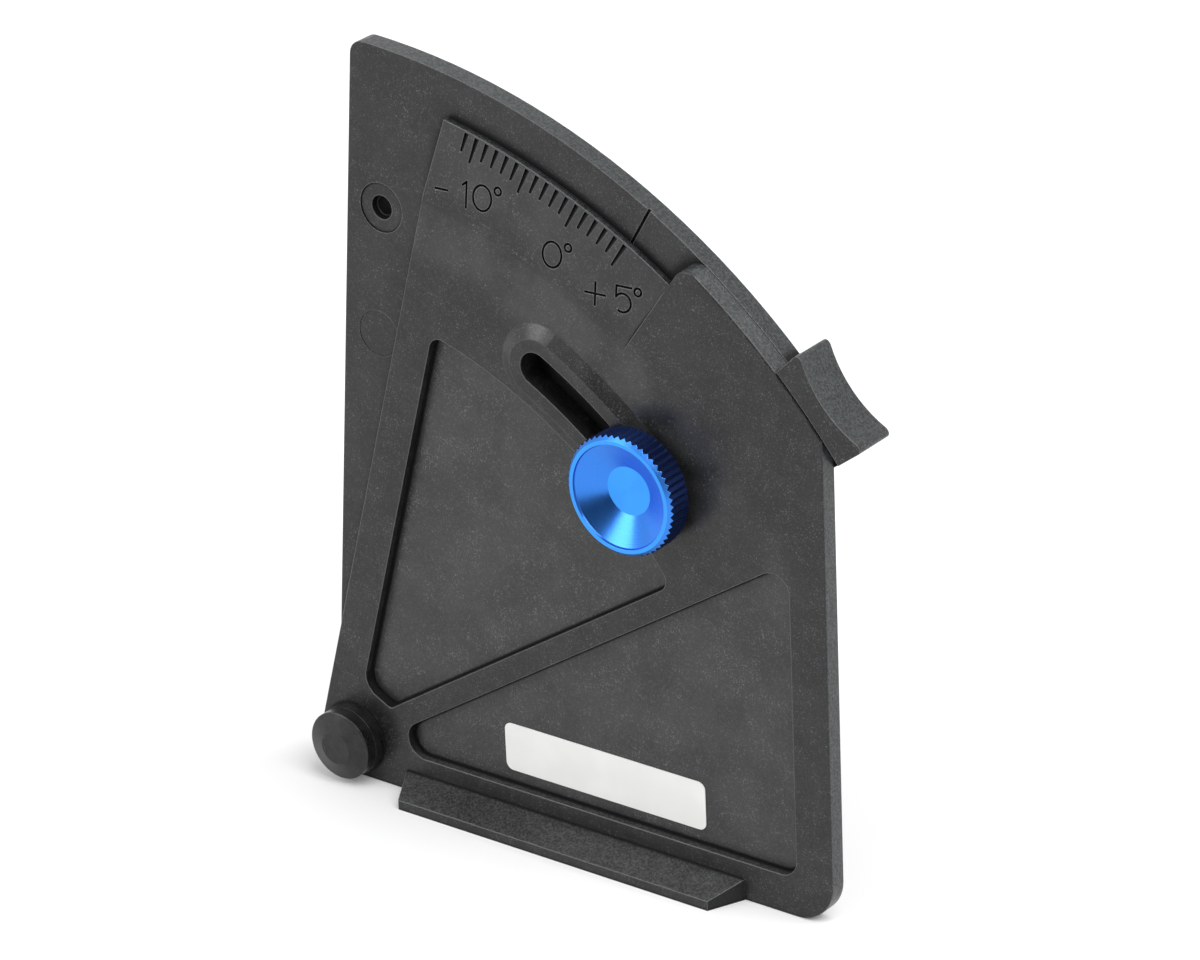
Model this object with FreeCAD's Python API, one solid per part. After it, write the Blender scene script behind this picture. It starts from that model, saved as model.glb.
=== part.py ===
import FreeCAD, Part
import math
import os

from FreeCAD import Rotation, Vector

# A camber and caster gauge for model cars. A base plate stands on its foot, a measuring plate swings
# behind it about one pivot, and a knurled thumb screw clamps the two together through an arched slot.
#
# Lengths are in millimetres and angles in degrees. The pieces are built round the pivot axis, which runs
# along Y through X = 0, Z = 0, with +Z up, the front towards -Y and the measuring plate's front face at
# Y = 0. A lean is an angle clockwise from straight up, seen from the front. A line is a pair (lean, offset):
# it leans by the lean and passes the offset to the right of the pivot axis.
# At the end every piece is moved so that the origin is in the middle of the foot's length, on the base
# plate's bottom face and half way through that plate.

# ---- Plates
SWING_R = 100.0           # outer arc of the measuring plate, from the pivot axis
SWING_T = 2.85            # thickness of the measuring plate
SWING_EDGE = 4.8          # pivot axis to the measuring edge, and the plate's radius round the pivot
SWING_TOP_R = 2.1         # rounded top corner of the measuring edge
BASE_T = 2.5              # thickness of the base plate
BASE_W = 77.7             # pivot axis to the base plate's right-hand edge
BASE_CORNER = 5.75        # pivot axis to the bottom and to the left-hand edge, and the radius between them
BASE_EDGE_LEAN = 15.6     # lean of the base plate's left-hand edge
BASE_ARC_INSET = 0.5      # front edge of the base plate's outer arc inside the measuring plate's arc
BASE_ARC_FLARE = 0.42     # how much farther out the arc's back edge lies than its front edge
BASE_BOTTOM_R = 5.75      # rounded bottom right corner
PLATE_GAP = 0.05          # running gap between the two plates
EDGE_SOFTENING = 0.2      # small rounding of the plates' front edges

# ---- Scale, on a bevel along the base plate's upper edge
ZERO_LEAN = 25.25         # lean of the zero tick, and of the index line from the measuring edge
TICK_LOW = -11            # first and last tick, in degrees of camber
TICK_HIGH = 5
TICK_LONG_EVERY = 5       # each tick at a multiple of this is a long one
TICK_LONG = 3.75          # scale edge to a tick's inner end
TICK_SHORT = 2.85
TICK_RIM = 0.25           # unbroken rim between a tick and the scale edge
TICK_LEFT = 0.05          # a tick's steep wall, left of the line that the tick stands for
TICK_W = 0.72             # its width and depth at the rim
TICK_DEPTH = 0.4
TICK_TIP_W = 0.38         # its width at the inner end
SCALE_INSET = 5.7         # scale edge inside the measuring plate's outer arc
SCALE_EDGE_T = 0.9        # thickness left at the scale edge
BEVEL_W = 11.6            # width of the bevel
STEP_LEAN = 35.3          # lean of the line where the bevel ends
STEP_R = 2.2              # rounded shoulder at that line
NUMERAL_H = 3.3           # between the middles of the engraved lines, as the widths are
NUMERAL_W = 2.8
FIVE_W = 2.3
FIVE_BOWL_R = 1.2
PLUS_W = 2.9
MINUS_W = 1.9
FLAG_W = 0.6              # the flag of the 1
FLAG_H = 0.45
RING_R = 0.5              # the ring of a degree sign
RING_RISE = 1.3           # middle of a numeral to the middle of that ring
MINUS_GAP = 2.3           # clear space after a minus, after a plus, between digits and before a ring
PLUS_GAP = 1.5
DIGIT_GAP = 1.05
RING_GAP = 0.45
NUMERAL_LINE = 0.3        # width of an engraved line
NUMERAL_DEPTH = 0.3
NUMERAL_DROP = 7.95       # scale edge to the middle of the numerals, beside their tick
MINUS_TEN_LEFT = 3.85     # how far left of its tick's line each numeral starts
ZERO_LEFT = 1.3
PLUS_FIVE_LEFT = 1.45
MINUS_TEN_LOWERED = 0.1   # how much lower than the drop each numeral stands
ZERO_LOWERED = 0.15
PLUS_FIVE_LOWERED = 0.45
INDEX_L = 7.0             # index line on the measuring plate, from its outer arc inwards
INDEX_W = 0.4
INDEX_DEPTH = 0.3
# Each numeral: its tick, where it starts, how much it is lowered, and its signs, with o for the ring
NUMERALS = (
    (-10, MINUS_TEN_LEFT, MINUS_TEN_LOWERED, "-10o"),
    (0, ZERO_LEFT, ZERO_LOWERED, "0o"),
    (5, PLUS_FIVE_LEFT, PLUS_FIVE_LOWERED, "+5o"),
)

# ---- Arched slot and its raised pad
SLOT_INSET = 28.8         # middle line of the slot inside the measuring plate's outer arc
SLOT_PLAY = 0.3           # stud to the slot's wall, each side
STUD_LEAN = 39.8          # lean of the stud from the measuring edge
STOP_LOW = -10.8          # camber readings at the two ends of the slot
STOP_HIGH = 5.3
READING = STOP_HIGH       # camber reading as modelled: at the upper stop
PAD_W = 8.1               # width of the pad's flat top
PAD_H = 1.05
PAD_FLANK = 1.85          # width of the slope round it, seen from the front

# ---- Pockets in the base plate's front
LEFT_RIM_W = 5.4          # solid rims beside the pockets
RIM_W = 5.5
RIB_LEAN = 57.25          # rib between the two pockets: its middle line and its two sides
RIB_UPPER = 1.5
RIB_LOWER = 1.7
UPPER_NEAR = 8.2          # pivot axis to the upper pocket's straight wall beside the pivot
UPPER_NEAR_LEAN = 26.9    # which way that wall lies from the pivot
POCKET_DEPTH = 1.4
POCKET_TO_PAD = 0.3       # upper pocket's outer wall to the foot of the pad
POCKET_R = 2.5            # right-hand corners of the lower pocket
POCKET_ARC_R = 1.8        # corners at the upper pocket's outer wall
UPPER_NEAR_RIM_R = 3.0    # corners of the wall beside the pivot, at the left-hand rim and at the rib
UPPER_NEAR_RIB_R = 0.8
LOWER_NEAR_CORNER = 2.7   # the lower pocket's corner beside the pivot, a full round

# ---- Foot ledges, one on the front and one on the back of the base plate
FOOT_LEFT = 8.6           # pivot axis to a ledge's left end
FOOT_RIGHT = 13.7         # a ledge's right end to the base plate's right-hand edge
FOOT_D = 5.0              # how far a ledge stands out of the plate
FOOT_H = 3.0              # its height at the plate
FOOT_LIP = 1.4            # its height at its lip
FOOT_TAPER = 2.4          # slant of each end, seen from above

# ---- Finger tab of the measuring plate
TAB_LEAN = 44.1           # from the measuring edge
TAB_W = 13.7              # at its inner end; its sides point to the pivot
TAB_OUT = 4.0             # outside the measuring plate's outer arc
TAB_GAP = 0.3             # between the tab and the base plate's outer arc
TAB_PROUD = 0.9           # behind the measuring plate's back
TAB_HOLLOW = 1.2          # depth of the finger hollow
TAB_HOLLOW_R = 16.5
TAB_CORNER_R = 0.6

# ---- Accessory hole and marks of the measuring plate
ACCESSORY_EDGE = 5.5      # measuring edge to the hole
ACCESSORY_DROP = 22.2     # outer arc to the hole, along the measuring edge
ACCESSORY_R = 1.3         # core of an M3 self-cutting thread
ACCESSORY_LEAD_R = 1.64
ACCESSORY_LEAD = 0.9      # depth of the lead-in
BOSS_H = 2.0              # bosses on the measuring plate's back
ACCESSORY_BOSS_R = 3.4
MARK_DEPTH = 0.15         # shallow round marks opposite the moulding pins
LOWER_MARK_R = 3.2
LOWER_MARK_DEPTH = 0.06
MARK_PITCH = 18.0         # accessory hole to the lower mark

# ---- Pivot
PIN_R = 2.5
PIN_HEAD_R = 4.85
PIN_HEAD_H = 3.45         # base plate to the head's rim
PIN_HEAD_CHAMFER = 0.1
PIN_FLANGE_R = 4.95       # step round the head's foot
PIN_FLANGE_H = 1.75
PIN_CROWN_R = 2.3         # flat top of the low cone on the head
PIN_CROWN_H = 0.9
RUNNING_FIT = 0.05        # radial clearance of a shaft in its hole
END_PLAY = 0.05           # gap under a washer beside a piece that turns
PIVOT_WASHER_R = 4.5
PIVOT_WASHER_T = 0.8
PIVOT_SCREW_R = 1.45
PIVOT_SCREW_L = 5.0       # in the pin
PIVOT_SCREW_HEAD_R = 2.8
PIVOT_SCREW_HEAD_H = 1.8
RECESS_SPAN = 3.1         # cross recess in the screw's head
RECESS_W = 1.1
RECESS_DEPTH = 1.1

# ---- Thumb screw
STUD_R = 2.0              # M4
NUT_FLATS = 7.0
NUT_T = 3.2
NUT_WALL = 1.6            # boss round the nut's corners
NUT_FIT = 0.05
CLAMP_WASHER_R = 4.5
CLAMP_WASHER_T = 0.3
KNOB_R = 8.2
KNOB_T = 4.28
KNOB_TEETH = 54
KNOB_TOOTH = 0.3          # depth of a knurl tooth
KNOB_FRONT_CHAMFER = 0.6
KNOB_BACK_CHAMFER = 0.5
KNOB_LAND = 0.52          # flat rim between the front chamfer and the dish
KNOB_LIP = 0.12           # width and depth of the steep lip at the dish's edge
KNOB_LIP_DEPTH = 0.3
KNOB_DISC_R = 3.28        # flat in the middle of the dish
KNOB_DISH = 2.3
KNOB_SOCKET = 1.4         # how deep the stud is pressed into the knob

# ---- Label
LABEL_W = 32.4
LABEL_H = 6.95
LABEL_T = 0.12
LABEL_R = 1.1
LABEL_RIGHT = 15.0        # to the lower pocket's right-hand wall
LABEL_RISE = 1.9          # to the lower pocket's bottom wall

# ---- Places that follow from the sizes above
FRONT = -(PLATE_GAP + BASE_T)             # Y of the base plate's front face
BASE_BACK = -PLATE_GAP                    # Y of its back
PAD_TOP = FRONT - PAD_H
POCKET_FLOOR = FRONT + POCKET_DEPTH
BASE_ARC_R = SWING_R - BASE_ARC_INSET
SCALE_R = SWING_R - SCALE_INSET
BEVEL_R = SCALE_R - BEVEL_W
SLOT_R = SWING_R - SLOT_INSET
SLOT_W = 2 * (STUD_R + SLOT_PLAY)
UPPER_POCKET_R = SLOT_R - PAD_W / 2 - PAD_FLANK - POCKET_TO_PAD
TAB_IN_R = BASE_ARC_R + TAB_GAP
ACCESSORY_X = ACCESSORY_EDGE - SWING_EDGE
ACCESSORY_Z = SWING_R - ACCESSORY_DROP
WASHER_BACK = PAD_TOP - END_PLAY
KNOB_BACK = WASHER_BACK - CLAMP_WASHER_T
KNOB_FACE = KNOB_BACK - KNOB_T
NUT_POCKET = SWING_T + BOSS_H - NUT_T     # Y of the nut's seat
STUD_END = NUT_POCKET + NUT_T             # the stud ends flush with the nut
PIN_END = SWING_T + END_PLAY
FOOT_MIDDLE = (FOOT_LEFT + BASE_W - FOOT_RIGHT) / 2
LEFT_EDGE = (BASE_EDGE_LEAN, -BASE_CORNER)
BOTTOM_EDGE = (90.0, BASE_CORNER)
RIGHT_EDGE = (0.0, BASE_W)
FAR = 2 * SWING_R                         # longer than any piece
SLACK = 1.0                               # how far a cutting tool reaches past the face it cuts
NEAR = 1e-6


# ---- Geometry helpers
def polar(radius, lean, y=0.0):
    """The point at a distance from the pivot axis in the direction of a lean."""
    angle = math.radians(lean)
    return Vector(radius * math.sin(angle), y, radius * math.cos(angle))


def crossing(first, second):
    """The point where two lines meet."""
    a, b = math.radians(first[0]), math.radians(second[0])
    spread = math.sin(a - b)
    x = (math.sin(a) * second[1] - math.sin(b) * first[1]) / spread
    z = (math.cos(a) * second[1] - math.cos(b) * first[1]) / spread
    return Vector(x, 0, z)


def along(line, distance):
    """The point of a line at a distance from its foot beside the pivot axis."""
    angle = math.radians(line[0])
    foot = Vector(math.cos(angle), 0, -math.sin(angle)) * line[1]
    return foot + polar(distance, line[0])


def on_circle(line, radius):
    """The upper point where a line meets a circle round the pivot axis."""
    return along(line, math.sqrt(radius ** 2 - line[1] ** 2))


def at_depth(point, y):
    return Vector(point.x, y, point.z)


def prism(points, front, back):
    """A straight-sided block through the given points, from Y = front to Y = back."""
    loop = [at_depth(point, front) for point in points]
    return Part.Face(Part.makePolygon(loop + loop[:1])).extrude(Vector(0, back - front, 0))


def flat_sided(first, second):
    """The solid between two polygons of the same shape."""
    loops = [first, second]
    for index in range(len(first)):
        loops.append([first[index - 1], first[index], second[index], second[index - 1]])
    faces = [Part.Face(Part.makePolygon(loop + loop[:1])) for loop in loops]
    return Part.Solid(Part.Shell(faces))


def disc(radius, front, back, centre=Vector(0, 0, 0)):
    return Part.makeCylinder(radius, back - front, at_depth(centre, front), Vector(0, 1, 0))


def cone(front_r, back_r, front, back):
    """A round block about the pivot axis that widens or narrows towards the back."""
    return Part.makeCone(front_r, back_r, back - front, Vector(0, front, 0), Vector(0, 1, 0))


def tube(outer, inner, front, back, centre=Vector(0, 0, 0)):
    return disc(outer, front, back, centre).cut(disc(inner, front - SLACK, back + SLACK, centre))


def turned(profile, centre=Vector(0, 0, 0)):
    """A turned piece from (radius, Y) points, about an axis along Y through the centre."""
    loop = [Vector(radius, y, 0) for radius, y in profile]
    face = Part.Face(Part.makePolygon(loop + loop[:1]))
    solid = face.revolve(Vector(0, 0, 0), Vector(0, 1, 0), 360)
    solid.translate(Vector(centre.x, 0, centre.z))
    return solid


def arc(centre_radius, lean_from, lean_to, y, centre=Vector(0, 0, 0)):
    """An arc round a centre, as an edge, through its middle lean."""
    shift = at_depth(centre, 0)
    leans = (lean_from, (lean_from + lean_to) / 2, lean_to)
    return Part.Arc(*[polar(centre_radius, lean, y) + shift for lean in leans]).toShape()


def arched_block(middle_r, width, lean_from, lean_to, front, back):
    """A block with round ends that follows an arc round the pivot axis."""
    half = width / 2
    start = polar(middle_r, lean_from)
    end = polar(middle_r, lean_to)
    edges = [
        arc(middle_r + half, lean_from, lean_to, front),
        arc(half, lean_to, lean_to + 180, front, end),
        arc(middle_r - half, lean_to, lean_from, front),
        arc(half, lean_from + 180, lean_from + 360, front, start),
    ]
    return Part.Face(Part.Wire(edges)).extrude(Vector(0, back - front, 0))


def aside(first, second):
    """How far two points lie apart, seen along Y."""
    return math.hypot(first.x - second.x, first.z - second.z)


def round_corners(solid, radius, places):
    """Round the edges that run along Y, or nearly so, and start at the given places."""
    edges = []
    for edge in solid.Edges:
        front, back = sorted((edge.Vertexes[0].Point, edge.Vertexes[-1].Point), key=lambda point: point.y)
        runs_along_y = aside(front, back) < (back.y - front.y) / 2
        if runs_along_y and any(aside(front, place) < 1e-3 for place in places):
            edges.append(edge)
    return solid.makeFillet(radius, edges)


def soften_face(solid, radius, y, faces_way):
    """Round all outer edges of the flat face that lies at a depth and faces along Y."""
    for face in solid.Faces:
        flat = isinstance(face.Surface, Part.Plane) and abs(face.CenterOfMass.y - y) < NEAR
        if flat and abs(face.normalAt(0, 0).y - faces_way) < NEAR:
            return solid.makeFillet(radius, face.OuterWire.Edges)
    raise ValueError("no flat face at this depth")


def lean_by(solid, lean):
    """Turn a piece clockwise about the pivot axis, seen from the front."""
    turned_piece = solid.copy()
    turned_piece.rotate(Vector(0, 0, 0), Vector(0, 1, 0), lean)
    return turned_piece


# ---- Scale
def bevel_y(radius):
    """Y of the bevel's surface at a distance from the pivot axis."""
    return FRONT + (radius - BEVEL_R) / BEVEL_W * (BASE_T - SCALE_EDGE_T)


def ring_round_pivot(profile, lean_from, lean_to):
    """A (radius, Y) profile swept round the pivot axis between two leans."""
    loop = [Vector(0, y, radius) for radius, y in profile]
    face = Part.Face(Part.makePolygon(loop + loop[:1]))
    start = Rotation(Vector(0, 1, 0), lean_from)
    face.Placement = FreeCAD.Placement(Vector(0, 0, 0), start)
    return face.revolve(Vector(0, 0, 0), Vector(0, 1, 0), lean_to - lean_from)


def bevel_tool():
    """What is cut off the base plate to leave the bevel."""
    outer = SCALE_R + SLACK
    profile = [(BEVEL_R, FRONT), (outer, bevel_y(outer)), (outer, FRONT - SLACK), (BEVEL_R, FRONT - SLACK)]
    return ring_round_pivot(profile, 0, STEP_LEAN)


def bevel_skin(depth):
    """The layer of the base plate just under the bevel's surface."""
    outer = SCALE_R + SLACK
    profile = [
        (BEVEL_R, FRONT - SLACK),
        (outer, bevel_y(outer) - SLACK),
        (outer, bevel_y(outer) + depth),
        (BEVEL_R, FRONT + depth),
    ]
    return ring_round_pivot(profile, 0, STEP_LEAN)


def tick_section(radius, width):
    """A tick's section on the line straight up: a steep left wall and a ramp that rises to the right."""
    depth = TICK_DEPTH * width / TICK_W
    surface = Vector(0, bevel_y(radius), radius)
    # the tool stands as far above the bevel's surface as it cuts below it
    corners = ((0, depth), (0, -depth), (2 * width, -depth))
    return [surface + Vector(x - TICK_LEFT, y, 0) for x, y in corners]


def tick_notch(length):
    """A notch that gets narrower and shallower from the scale's rim inwards."""
    outer = tick_section(SCALE_R - TICK_RIM, TICK_W)
    inner = tick_section(SCALE_R - length, TICK_TIP_W)
    return flat_sided(outer, inner)


def tick_tools():
    tools = []
    for degree in range(TICK_LOW, TICK_HIGH + 1):
        length = TICK_LONG if degree % TICK_LONG_EVERY == 0 else TICK_SHORT
        tools.append(lean_by(tick_notch(length), ZERO_LEAN + degree))
    return tools


# ---- Numerals: each sign is drawn from its left end, at half its height, and cut through the bevel's skin
def stroke(start, end):
    """A straight engraved line between two (x, z) points."""
    a, b = Vector(start[0], 0, start[1]), Vector(end[0], 0, end[1])
    way = (b - a).normalize()
    side = Vector(way.z, 0, -way.x) * (NUMERAL_LINE / 2)
    overrun = way * (NUMERAL_LINE / 2)
    corners = [a - overrun + side, b + overrun + side, b + overrun - side, a - overrun - side]
    return prism(corners, FRONT - SLACK, 0)


def oval(half_w, half_h, centre=(0.0, 0.0)):
    """An engraved oval line."""
    middle = Vector(centre[0], FRONT - SLACK, centre[1])
    plates = []
    for grow in (NUMERAL_LINE / 2, -NUMERAL_LINE / 2):
        wide, tall = half_w + grow, half_h + grow
        if abs(wide - tall) < NEAR:
            curve = Part.Circle(middle, Vector(0, 1, 0), wide)
        else:
            curve = Part.Ellipse(middle + Vector(0, 0, tall), middle + Vector(wide, 0, 0), middle)
        plates.append(Part.Face(Part.Wire(curve.toShape())).extrude(Vector(0, SLACK - FRONT, 0)))
    return plates[0].cut(plates[1])


def bowl(radius, lean_from, lean_to, centre):
    """An engraved arc."""
    place = Vector(centre[0], 0, centre[1])
    outer, inner = radius + NUMERAL_LINE / 2, radius - NUMERAL_LINE / 2
    y = FRONT - SLACK
    ends = [polar(r, lean, y) + place for r, lean in
            ((outer, lean_to), (inner, lean_to), (inner, lean_from), (outer, lean_from))]
    edges = [
        arc(outer, lean_from, lean_to, y, place),
        Part.makeLine(ends[0], ends[1]),
        arc(inner, lean_to, lean_from, y, place),
        Part.makeLine(ends[2], ends[3]),
    ]
    return Part.Face(Part.Wire(edges)).extrude(Vector(0, SLACK - FRONT, 0))


def sign_minus():
    return [stroke((0, 0), (MINUS_W, 0))]


def sign_plus():
    half = PLUS_W / 2
    return [stroke((0, 0), (PLUS_W, 0)), stroke((half, -half), (half, half))]


def sign_one():
    top = NUMERAL_H / 2
    return [stroke((FLAG_W, -top), (FLAG_W, top)), stroke((0, top - FLAG_H), (FLAG_W, top))]


def sign_zero():
    return [oval(NUMERAL_W / 2, NUMERAL_H / 2, (NUMERAL_W / 2, 0))]


def sign_five():
    """A bar, an upright and a bowl that runs from the upright's end round to the lower left."""
    top = NUMERAL_H / 2
    middle = (FIVE_W - FIVE_BOWL_R, FIVE_BOWL_R - top)
    bowl_from, bowl_to = -55, 215
    start = polar(FIVE_BOWL_R, bowl_from)
    joint = (middle[0] + start.x, middle[1] + start.z)
    corner = (joint[0], top)
    curve = bowl(FIVE_BOWL_R, bowl_from, bowl_to, middle)
    return [stroke(corner, (FIVE_W, top)), stroke(corner, joint), curve]


def sign_ring():
    return [oval(RING_R, RING_R, (RING_R, RING_RISE))]


# How each sign is drawn, its width and the clear space after it
SIGNS = {
    "-": (sign_minus, MINUS_W, MINUS_GAP),
    "+": (sign_plus, PLUS_W, PLUS_GAP),
    "1": (sign_one, FLAG_W, DIGIT_GAP),
    "0": (sign_zero, NUMERAL_W, RING_GAP),
    "5": (sign_five, FIVE_W, RING_GAP),
    "o": (sign_ring, 2 * RING_R, 0),
}


def engraving():
    """The signs, set level under their ticks, as far as they lie in the bevel's skin."""
    skin = bevel_skin(NUMERAL_DEPTH)
    tools = []
    for degree, left, lowered, row in NUMERALS:
        place = polar(SCALE_R - NUMERAL_DROP, ZERO_LEAN + degree) - Vector(left, 0, lowered)
        for letter in row:
            draw, width, gap = SIGNS[letter]
            strokes = draw()
            sign = strokes[0].fuse(strokes[1:]) if len(strokes) > 1 else strokes[0]
            sign.translate(place)
            tools.append(sign.common(skin))
            place += Vector(width + gap, 0, 0)
    return tools


# ---- Base plate
def base_outline():
    """The base plate's full outline, before the scale's part is cut down."""
    corner = crossing(LEFT_EDGE, BOTTOM_EDGE)
    right = crossing(BOTTOM_EDGE, RIGHT_EDGE)
    wedge = prism([corner, right, Vector(BASE_W, 0, FAR), along(LEFT_EDGE, FAR)], FRONT, BASE_BACK)
    plate = wedge.common(cone(BASE_ARC_R, BASE_ARC_R + BASE_ARC_FLARE, FRONT, BASE_BACK))
    plate = round_corners(plate, BASE_CORNER, [corner])
    return round_corners(plate, BASE_BOTTOM_R, [right])


def cut_down_to_scale(plate):
    """Cut the outer arc down to the scale edge, left of the step, and round the step's shoulder."""
    front, back = FRONT - SLACK, BASE_BACK + SLACK
    wedge = prism([Vector(0, 0, 0), polar(FAR, STEP_LEAN), polar(FAR, -45)], front, back)
    ring = tube(FAR, SCALE_R, front, back).common(wedge)
    plate = plate.cut(ring)
    return round_corners(plate, STEP_R, [polar(BASE_ARC_R, STEP_LEAN)])


def upper_pocket():
    """Between the left-hand rim, the rib, a straight wall beside the pivot and one that follows the slot."""
    wall = (BASE_EDGE_LEAN, LEFT_RIM_W - BASE_CORNER)
    rib = (RIB_LEAN, -RIB_UPPER)
    near = (UPPER_NEAR_LEAN + 90.0, -UPPER_NEAR)
    at_rim, at_rib = crossing(wall, near), crossing(near, rib)
    front = FRONT - SLACK
    block = prism([at_rim, at_rib, along(rib, FAR), along(wall, FAR)], front, POCKET_FLOOR)
    block = block.common(disc(UPPER_POCKET_R, front, POCKET_FLOOR))
    block = round_corners(block, UPPER_NEAR_RIM_R, [at_rim])
    block = round_corners(block, UPPER_NEAR_RIB_R, [at_rib])
    far_corners = [on_circle(wall, UPPER_POCKET_R), on_circle(rib, UPPER_POCKET_R)]
    return round_corners(block, POCKET_ARC_R, far_corners)


def lower_pocket():
    """Between the rib and the bottom and right-hand rims, with a full round beside the pivot."""
    rib = (RIB_LEAN, RIB_LOWER)
    bottom = (90.0, BASE_CORNER - RIM_W)
    right = (0.0, BASE_W - RIM_W)
    near_corner = crossing(rib, bottom)
    far_corners = [crossing(bottom, right), crossing(right, rib)]
    block = prism([near_corner] + far_corners, FRONT - SLACK, POCKET_FLOOR)
    block = round_corners(block, LOWER_NEAR_CORNER, [near_corner])
    return round_corners(block, POCKET_R, far_corners)


def front_foot():
    """A ledge that the gauge stands on: sloped on top, with slanting ends."""
    low = -BASE_CORNER
    left, right = FOOT_LEFT, BASE_W - FOOT_RIGHT
    lip = FRONT - FOOT_D
    section = [(FRONT, low), (lip, low), (lip, low + FOOT_LIP), (FRONT, low + FOOT_H)]
    loop = [Vector(left, y, z) for y, z in section]
    bar = Part.Face(Part.makePolygon(loop + loop[:1])).extrude(Vector(right - left, 0, 0))
    plan = [(left, FRONT), (right, FRONT), (right - FOOT_TAPER, lip), (left + FOOT_TAPER, lip)]
    loop = [Vector(x, y, low) for x, y in plan]
    return bar.common(Part.Face(Part.makePolygon(loop + loop[:1])).extrude(Vector(0, 0, FOOT_H)))


def rear_foot():
    """The same ledge mirrored to the back of the base plate."""
    return front_foot().mirror(Vector(0, (FRONT + BASE_BACK) / 2, 0), Vector(0, 1, 0))


def slot_leans():
    return STUD_LEAN + STOP_LOW, STUD_LEAN + STOP_HIGH


def slot_pad():
    """A low pad that follows the slot, with a slope all round its flat top."""
    top = PAD_W / 2
    foot = top + PAD_FLANK
    section = [
        (SLOT_R - foot, FRONT),
        (SLOT_R - top, PAD_TOP),
        (SLOT_R + top, PAD_TOP),
        (SLOT_R + foot, FRONT),
    ]
    arch = ring_round_pivot(section, *slot_leans())
    ends = [Part.makeCone(foot, top, PAD_H, polar(SLOT_R, lean, FRONT), Vector(0, -1, 0))
            for lean in slot_leans()]
    return arch.fuse(ends)


def base_plate():
    plate = soften_face(cut_down_to_scale(base_outline()), EDGE_SOFTENING, FRONT, -1)
    plate = plate.cut([bevel_tool(), upper_pocket(), lower_pocket()])
    plate = plate.fuse([slot_pad(), front_foot(), rear_foot()])
    slot = arched_block(SLOT_R, SLOT_W, *slot_leans(), PAD_TOP - SLACK, BASE_BACK + SLACK)
    pivot_hole = disc(PIN_R + RUNNING_FIT, FRONT - SLACK, BASE_BACK + SLACK)
    return plate.cut([slot, pivot_hole] + tick_tools() + engraving())


# ---- Measuring plate, built with its measuring edge upright
def swing_outline():
    """A sector with the measuring edge on its left, rounded about the pivot."""
    corner = Vector(-SWING_EDGE, 0, 0)
    right_lean = TAB_LEAN + tab_half_angle()
    wedge = prism([corner, Vector(0, 0, 0), polar(FAR, right_lean), Vector(-SWING_EDGE, 0, FAR)], 0, SWING_T)
    plate = wedge.common(disc(SWING_R, 0, SWING_T))
    top = on_circle((0.0, -SWING_EDGE), SWING_R)
    plate = round_corners(plate, SWING_TOP_R, [top])
    return plate.fuse(disc(SWING_EDGE, 0, SWING_T)).removeSplitter()


def tab_half_angle():
    return math.degrees(math.asin(TAB_W / 2 / TAB_IN_R))


def finger_tab():
    """The tab stands across the whole thickness, just outside the base plate's arc, whose flare it follows."""
    back = SWING_T + TAB_PROUD
    outer = SWING_R + TAB_OUT
    half = outer * math.tan(math.radians(tab_half_angle()))
    corners = [Vector(-half, 0, outer), Vector(half, 0, outer)]
    block = prism([Vector(0, 0, 0)] + corners, FRONT, back)
    block = block.cut(disc(TAB_IN_R, FRONT - SLACK, back + SLACK))
    flare = BASE_ARC_FLARE / BASE_T * (0 - FRONT)
    block = block.cut(cone(TAB_IN_R, TAB_IN_R + flare, FRONT, 0))
    block = round_corners(block, TAB_CORNER_R, corners)
    hollow = Vector(0, 0, outer - TAB_HOLLOW + TAB_HOLLOW_R)
    block = block.cut(disc(TAB_HOLLOW_R, FRONT - SLACK, back + SLACK, hollow))
    return lean_by(block, TAB_LEAN)


def accessory_place():
    return Vector(ACCESSORY_X, 0, ACCESSORY_Z)


def stud_place():
    """The stud's axis on the upright measuring plate."""
    return polar(SLOT_R, STUD_LEAN)


def nut_boss_r():
    return NUT_FLATS / math.sqrt(3) + NUT_WALL


def hexagon(flats, front, back, centre):
    corners = [polar(flats / math.sqrt(3), 60 * index) + centre for index in range(6)]
    return prism(corners, front, back)


def index_line():
    groove = Part.makeBox(INDEX_W, INDEX_DEPTH + SLACK, INDEX_L + SLACK,
                          Vector(-INDEX_W / 2, -SLACK, SWING_R - INDEX_L))
    return lean_by(groove, ZERO_LEAN)


def swing_plate():
    back = SWING_T + BOSS_H
    hole, stud = accessory_place(), stud_place()
    bosses = [disc(ACCESSORY_BOSS_R, 0, back, hole), disc(nut_boss_r(), 0, back, stud)]
    plate = swing_outline().fuse([finger_tab()] + bosses)
    cuts = [
        disc(PIN_R + RUNNING_FIT, -SLACK, back),
        disc(STUD_R + RUNNING_FIT, -SLACK, back, stud),
        hexagon(NUT_FLATS + 2 * NUT_FIT, NUT_POCKET, back + SLACK, stud),
        disc(ACCESSORY_R, -SLACK, back + SLACK, hole),
        disc(ACCESSORY_LEAD_R, -SLACK, ACCESSORY_LEAD, hole),
        disc(ACCESSORY_BOSS_R, -SLACK, MARK_DEPTH, hole),
        disc(LOWER_MARK_R, -SLACK, LOWER_MARK_DEPTH, hole - Vector(0, 0, MARK_PITCH)),
        index_line(),
    ]
    return lean_by(plate.cut(cuts), READING)


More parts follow.
